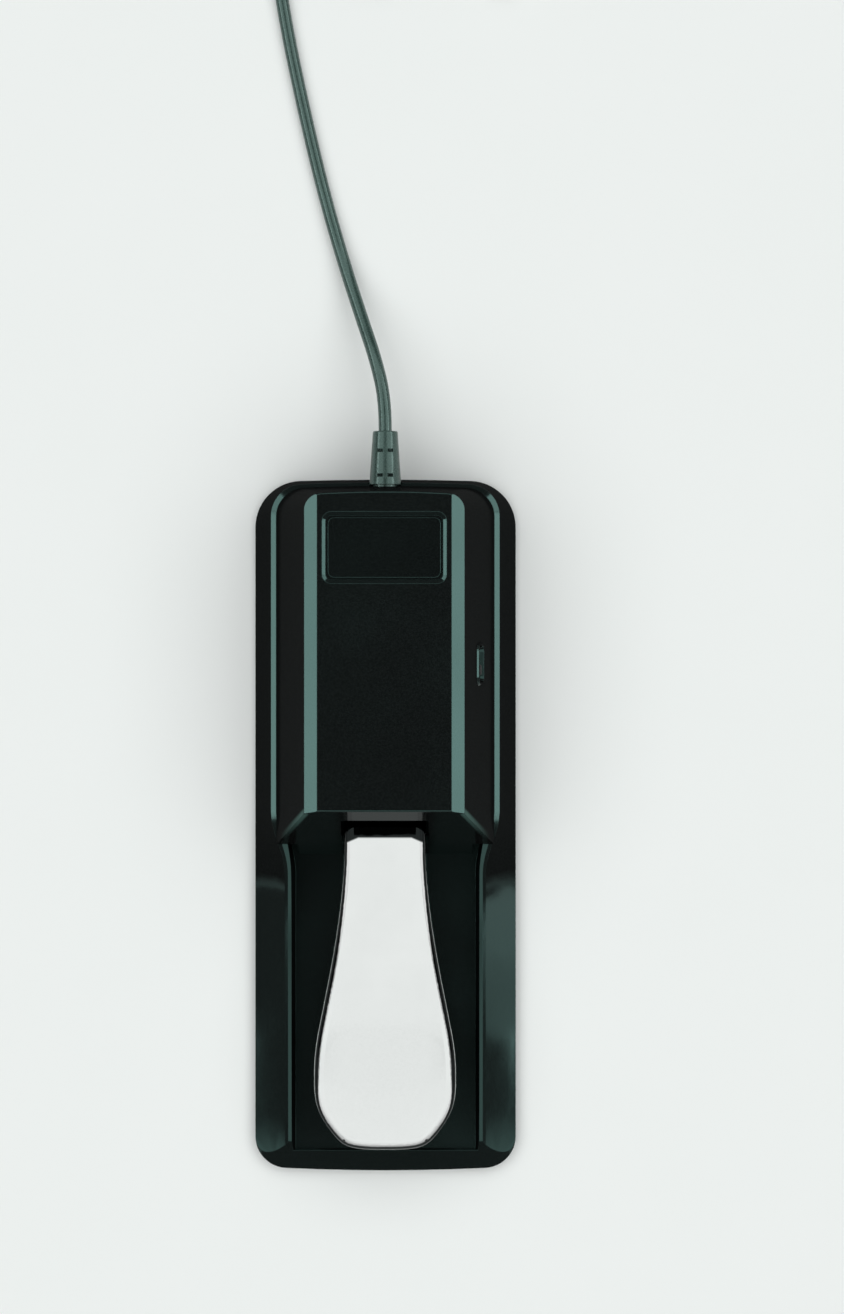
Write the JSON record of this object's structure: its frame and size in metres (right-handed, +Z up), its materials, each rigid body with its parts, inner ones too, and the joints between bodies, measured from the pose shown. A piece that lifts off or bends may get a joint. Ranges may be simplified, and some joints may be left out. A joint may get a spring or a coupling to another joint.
{
  "type": "sustain pedal",
  "caption": "Piano-style sustain foot switch: chrome lever sprung on a shaft in a black two-piece housing, polarity slide switch, cord and quarter-inch jack plug.",
  "frame": {"origin": "under the middle of the housing, on the surface it stands on, leaving out the cord and what is on it", "axes": "+Y towards the rear, where the cord leaves; +Z up; -Y towards the toe of the lever"},
  "size_m": [0.0915, 0.5065, 0.064],
  "materials": {
    "housing_plastic": "black moulded ABS, polished gloss",
    "badge": "blank black badge plate",
    "zinc_steel": "zinc-plated steel, dull satin",
    "rubber": "black anti-slip rubber",
    "spring_steel": "drawn spring steel",
    "chrome": "bright chrome plating",
    "nylon": "natural nylon",
    "brass": "turned brass",
    "switch_case": "black switch case",
    "plunger_red": "red switch plunger",
    "tinned_metal": "tinned metal",
    "board": "brown paper-phenolic circuit board",
    "slider_black": "black slide knob",
    "lead_jacket": "soft lead insulation",
    "cord_jacket": "dark grey-green soft PVC, satin",
    "tie": "black soft tie",
    "plug_plastic": "black moulded plug handle",
    "plug_metal": "nickel-plated brass",
    "insulator": "black insulating ring"
  },
  "bodies": {
    "base": {"lower_housing": "housing_plastic", "upper_housing": "housing_plastic", "badge_plate": "badge", "base_plate": "zinc_steel", "rubber_mat": "rubber", "pivot_bracket": "zinc_steel", "bracket_screws": "zinc_steel", "pivot_shaft": "zinc_steel", "shaft_clips": "spring_steel", "spring_seat": "nylon", "return_spring": "spring_steel", "up_stop_bumper": "rubber", "down_stop_bumper": "rubber", "micro_switch": "switch_case", "switch_terminals": "tinned_metal", "switch_screws": "zinc_steel", "circuit_board": "board", "board_screws": "zinc_steel", "polarity_case": "tinned_metal", "inner_leads": "lead_jacket", "inner_cable": "cord_jacket", "cable_clamp": "nylon", "clamp_screws": "zinc_steel", "housing_screws": "zinc_steel", "strain_relief": "cord_jacket", "cord_lead": "cord_jacket", "cord_tail": "cord_jacket", "cord_coil": "cord_jacket", "coil_tie": "tie", "plug_relief": "cord_jacket", "plug_handle": "plug_plastic", "plug_sleeve": "plug_metal", "plug_insulator": "insulator", "plug_tip": "plug_metal"},
    "pedal": {"pedal_lever": "chrome", "pivot_bushings": "nylon", "spring_cap": "nylon", "actuator_screw": "brass", "lock_nut": "brass"},
    "plunger": {"switch_plunger": "plunger_red"},
    "slider": {"polarity_slider": "slider_black"}
  },
  "joints": [
    {"name": "pedal_hinge", "type": "hinge", "parent": "base", "child": "pedal", "pos_m": [0, 0.06, 0.033], "axis": [1, 0, 0], "range_deg": [0, 5], "stiffness_Nm_per_rad": 10, "springref_deg": -8.59, "deforming": ["return_spring"]},
    {"name": "plunger_slide", "type": "slide", "parent": "base", "child": "plunger", "axis": [0, 0, -1], "range_m": [0, 0.0018]},
    {"name": "polarity_slide", "type": "slide", "parent": "base", "child": "slider", "axis": [0, 1, 0], "range_m": [0, 0.004]}
  ],
  "couplings": [
    {"joint": "plunger_slide", "follows": "pedal_hinge", "m_per_rad": 0.018}
  ]
}
